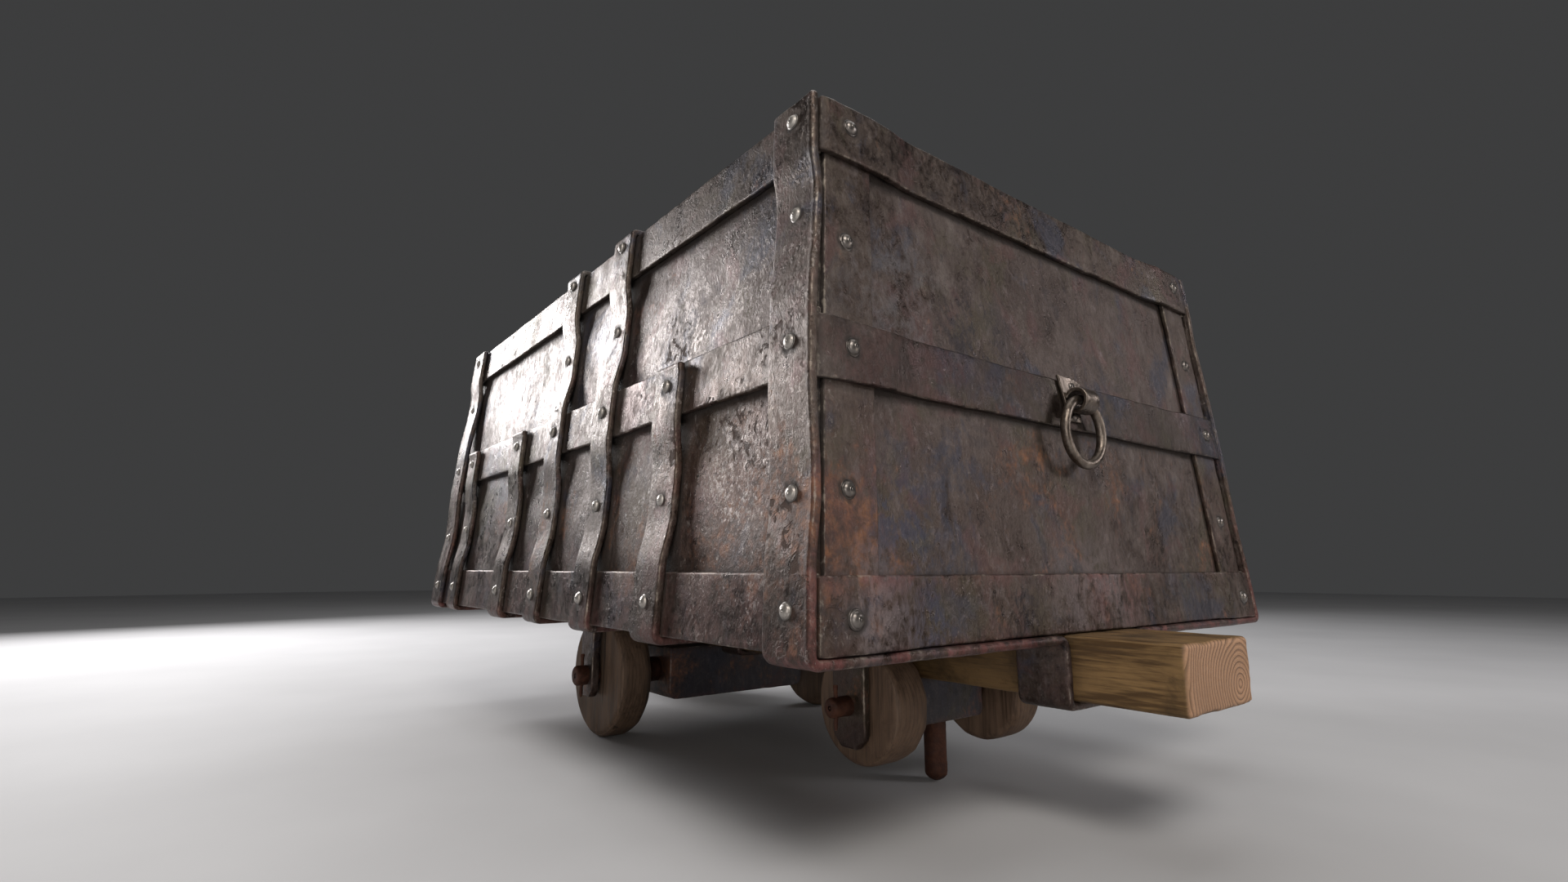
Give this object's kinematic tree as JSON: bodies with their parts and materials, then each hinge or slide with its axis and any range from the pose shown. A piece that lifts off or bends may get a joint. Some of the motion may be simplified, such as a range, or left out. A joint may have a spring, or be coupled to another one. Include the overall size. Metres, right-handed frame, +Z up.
{
  "type": "mine cart",
  "caption": "Small iron-strapped mine cart: open box with riveted bands and hoops, long timber beam, wooden disc wheels in pairs of two sizes, a guide pin and a hanging ring.",
  "frame": {"origin": "on the floor, below the middle of the box", "axes": "+X along the direction of travel, towards the end with the ring; +Y to the left; +Z up"},
  "size_m": [1.42, 0.8428, 0.722],
  "materials": {
    "iron_sheet": "worn dark wrought sheet with dents and rust",
    "strap_iron": "hammered wrought strap, polished by wear on its edges",
    "rivet_steel": "bright worn rivet heads",
    "rusty_iron": "brown rust",
    "ring_iron": "forged iron polished by handling",
    "block_iron": "blue-black scaled iron with rust at its edges",
    "wheel_wood": "weathered grey-brown wood",
    "beam_wood": "weathered yellow-brown timber",
    "plank_wood": "rough dark planks"
  },
  "bodies": {
    "cart": {"left_side_panel": "iron_sheet", "right_side_panel": "iron_sheet", "front_panel": "iron_sheet", "rear_panel": "iron_sheet", "floor_plank_1": "plank_wood", "floor_plank_2": "plank_wood", "floor_plank_3": "plank_wood", "floor_plank_4": "plank_wood", "floor_plank_5": "plank_wood", "left_top_band": "strap_iron", "left_mid_band": "strap_iron", "left_bottom_band": "strap_iron", "right_top_band": "strap_iron", "right_mid_band": "strap_iron", "right_bottom_band": "strap_iron", "front_top_band": "strap_iron", "front_mid_band": "strap_iron", "front_bottom_band": "strap_iron", "rear_top_band": "strap_iron", "rear_mid_band": "strap_iron", "rear_bottom_band": "strap_iron", "front_left_strip": "strap_iron", "front_right_strip": "strap_iron", "rear_left_strip": "strap_iron", "rear_right_strip": "strap_iron", "front_corner_hoop": "strap_iron", "forward_hoop": "strap_iron", "middle_hoop": "strap_iron", "rear_corner_hoop": "strap_iron", "left_front_strap": "strap_iron", "left_middle_strap": "strap_iron", "left_rear_strap": "strap_iron", "right_front_strap": "strap_iron", "right_middle_strap": "strap_iron", "right_rear_strap": "strap_iron", "long_beam": "beam_wood", "front_axle_block": "block_iron", "rear_axle_block": "block_iron", "front_left_axle": "rusty_iron", "front_right_axle": "rusty_iron", "rear_left_axle": "rusty_iron", "rear_right_axle": "rusty_iron", "front_left_bracket": "strap_iron", "front_right_bracket": "strap_iron", "rear_left_bracket": "strap_iron", "rear_right_bracket": "strap_iron", "linchpins": "rusty_iron", "guide_pin": "rusty_iron", "king_bolt": "rusty_iron", "staple": "ring_iron", "side_rivets": "rivet_steel", "end_rivets": "rivet_steel", "bracket_rivets": "rusty_iron"},
    "front_left_wheel": {"front_left_wheel": "wheel_wood"},
    "front_right_wheel": {"front_right_wheel": "wheel_wood"},
    "rear_left_wheel": {"rear_left_wheel": "wheel_wood"},
    "rear_right_wheel": {"rear_right_wheel": "wheel_wood"},
    "ring": {"ring": "ring_iron"}
  },
  "joints": [
    {"name": "front_left_wheel_spin", "type": "hinge", "parent": "cart", "child": "front_left_wheel", "pos_m": [0.351, 0.1135, 0.1086], "axis": [0, 1, 0], "continuous": true},
    {"name": "front_right_wheel_spin", "type": "hinge", "parent": "cart", "child": "front_right_wheel", "pos_m": [0.351, -0.1135, 0.1086], "axis": [0, 1, 0], "continuous": true},
    {"name": "rear_left_wheel_spin", "type": "hinge", "parent": "cart", "child": "rear_left_wheel", "pos_m": [-0.152, 0.2245, 0.0985], "axis": [0, 1, 0], "continuous": true},
    {"name": "rear_right_wheel_spin", "type": "hinge", "parent": "cart", "child": "rear_right_wheel", "pos_m": [-0.152, -0.2245, 0.0985], "axis": [0, 1, 0], "continuous": true},
    {"name": "ring_swing", "type": "hinge", "parent": "cart", "child": "ring", "pos_m": [0.58842, 0, 0.46], "axis": [0, -1, 0], "range_deg": [-6, 175]}
  ]
}
